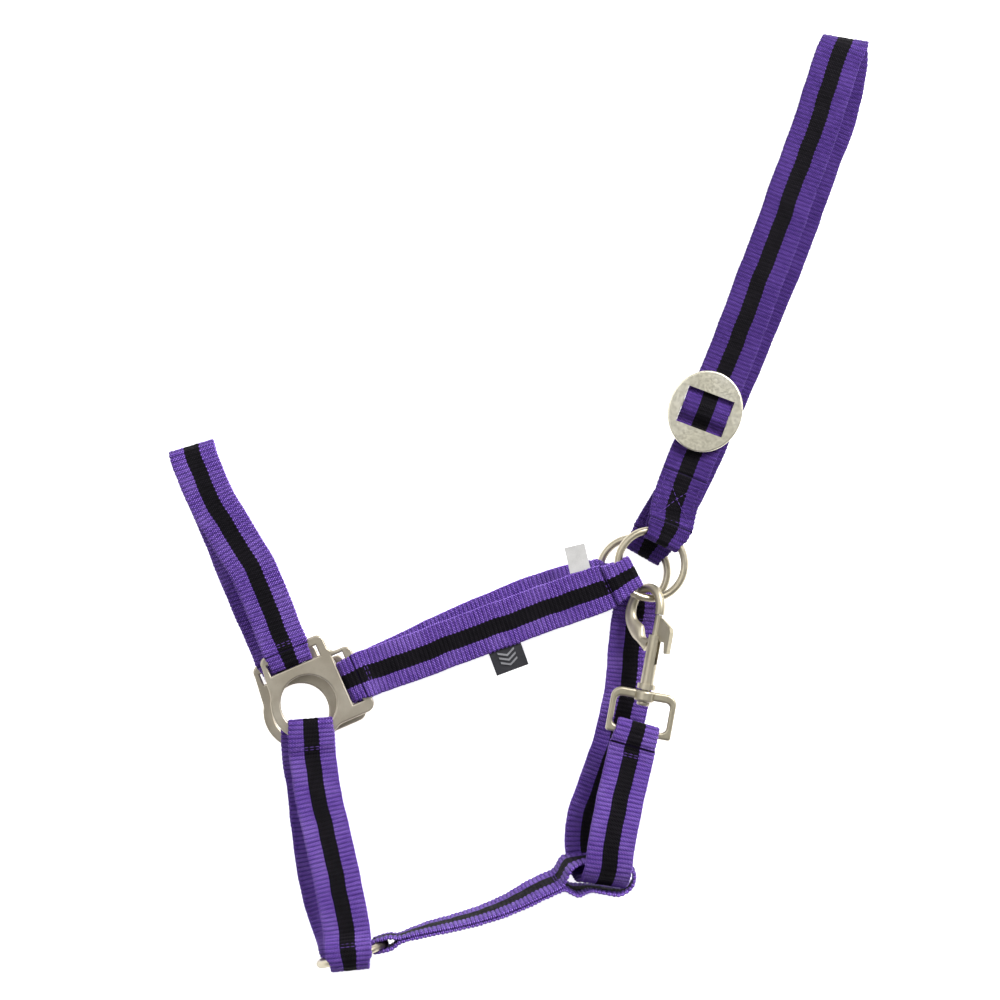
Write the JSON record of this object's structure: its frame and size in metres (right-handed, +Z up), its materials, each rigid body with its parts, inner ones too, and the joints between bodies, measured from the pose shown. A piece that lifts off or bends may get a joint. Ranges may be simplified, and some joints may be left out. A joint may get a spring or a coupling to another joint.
{
  "type": "horse halter",
  "caption": "Flat webbing head collar with doubled straps, side plates, rings, a crown slide and a throat snap, lying folded on its side.",
  "frame": {"origin": "on the surface the halter lies on, under the middle of its outline", "axes": "+Z up from the surface, +Y towards the poll end of the crown strap, +X towards the back of the head"},
  "size_m": [0.3718, 0.4966, 0.0462],
  "materials": {
    "purple_webbing": "woven nylon with transverse ribs and a black centre stripe",
    "nickel_plate": "satin nickel plated casting",
    "nickel_ring": "satin nickel plated welded wire",
    "nickel_snap": "satin nickel plated die casting",
    "steel_spring": "bright spring wire",
    "white_label": "plain woven tape",
    "charcoal_label": "plain woven tape"
  },
  "bodies": {
    "straps": {"noseband": "purple_webbing", "near_chin_strap": "purple_webbing", "far_chin_strap": "purple_webbing", "near_cheek_strap": "purple_webbing", "far_cheek_strap": "purple_webbing", "crown_strap": "purple_webbing", "throat_strap": "purple_webbing", "jowl_strap": "purple_webbing", "near_plate": "nickel_plate", "far_plate": "nickel_plate", "snap_eye": "nickel_snap", "size_label": "white_label", "woven_tag": "charcoal_label"},
    "near_ring": {"near_ring": "nickel_ring"},
    "far_ring": {"far_ring": "nickel_ring"},
    "lead_ring": {"lead_ring": "nickel_ring"},
    "slide": {"crown_slide": "nickel_plate", "crown_bight": "purple_webbing"},
    "snap": {"snap_body": "nickel_snap", "swivel_rivet": "nickel_snap", "bolt_spring": "steel_spring"},
    "bolt": {"snap_bolt": "nickel_snap", "thumb_lever": "nickel_snap"}
  },
  "joints": [
    {"name": "near_ring_turn", "type": "hinge", "parent": "straps", "child": "near_ring", "pos_m": [0.0694, -0.0321, 0.0174], "axis": [0.1736, 0, 0.9848], "continuous": true},
    {"name": "far_ring_turn", "type": "hinge", "parent": "straps", "child": "far_ring", "pos_m": [0.0604, -0.0363, 0.0039], "axis": [0, 0, 1], "continuous": true},
    {"name": "lead_ring_turn", "type": "hinge", "parent": "straps", "child": "lead_ring", "pos_m": [-0.0883, -0.2369, 0.0235], "axis": [-0.309, 0.9511, 0], "continuous": true},
    {"name": "slide_adjust", "type": "slide", "parent": "straps", "child": "slide", "axis": [0.3551, 0.9348, 0], "range_m": [0, 0.06]},
    {"name": "snap_swivel", "type": "hinge", "parent": "straps", "child": "snap", "pos_m": [0.0662, -0.0978, 0.0243], "axis": [0.1788, 0.9839, 0], "range_deg": [-1, 1]},
    {"name": "bolt_draw", "type": "slide", "parent": "snap", "child": "bolt", "axis": [-0.1788, -0.9839, 0], "range_m": [0, 0.008], "stiffness_N_per_m": 600, "springref_m": -0.004, "deforming": ["bolt_spring"]}
  ]
}
